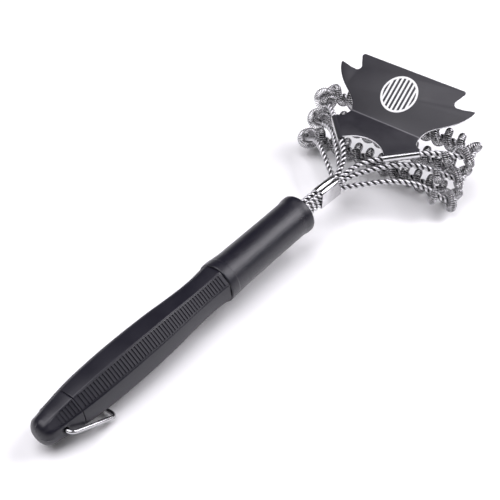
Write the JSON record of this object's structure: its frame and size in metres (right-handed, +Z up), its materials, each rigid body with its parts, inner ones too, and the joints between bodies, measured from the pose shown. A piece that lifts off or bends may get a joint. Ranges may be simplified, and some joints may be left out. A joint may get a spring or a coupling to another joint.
{
  "type": "grill cleaning brush",
  "caption": "Long-handled bristle-free grill brush: stacked twisted-wire loops wound with springs, a bent hooked scraper blade and a folding hanging loop.",
  "frame": {"origin": "centre of the bounding box's base, on the surface that the brush lies on", "axes": "+X from the butt of the handle to the head, +Z up with the scraper on top, +Y to the left of the handle"},
  "size_m": [0.4559, 0.1724, 0.0944],
  "materials": {
    "handle_plastic": "satin black moulded plastic with ribbed corner strips",
    "sleeve_plastic": "satin black moulded plastic",
    "inner_steel": "plain drawn steel",
    "bright_wire": "bright plated wire",
    "clamp_steel": "polished stainless sheet",
    "rope_steel": "bright twisted stainless wire",
    "coil_steel": "fine wound stainless spring wire",
    "scraper_coating": "satin black coated sheet steel",
    "print_white": "white pad print"
  },
  "bodies": {
    "brush": {"grip": "handle_plastic", "end_cap": "handle_plastic", "front_sleeve": "sleeve_plastic", "core_tube": "inner_steel", "wire_socket": "sleeve_plastic", "socket_pin": "inner_steel", "wire_clamp": "clamp_steel", "lower_loop": "rope_steel", "middle_loop": "rope_steel", "upper_loop": "rope_steel", "lower_coil": "coil_steel", "middle_coil": "coil_steel", "upper_coil": "coil_steel", "scraper_plate": "scraper_coating", "left_hem": "clamp_steel", "right_hem": "clamp_steel", "emblem": "print_white"},
    "bail": {"hanging_loop": "bright_wire"}
  },
  "joints": [
    {"name": "loop_swing", "type": "hinge", "parent": "brush", "child": "bail", "pos_m": [-0.21183, 0, 0.01903], "axis": [0.0051, 0.9962, -0.087], "range_deg": [0, 290]}
  ]
}
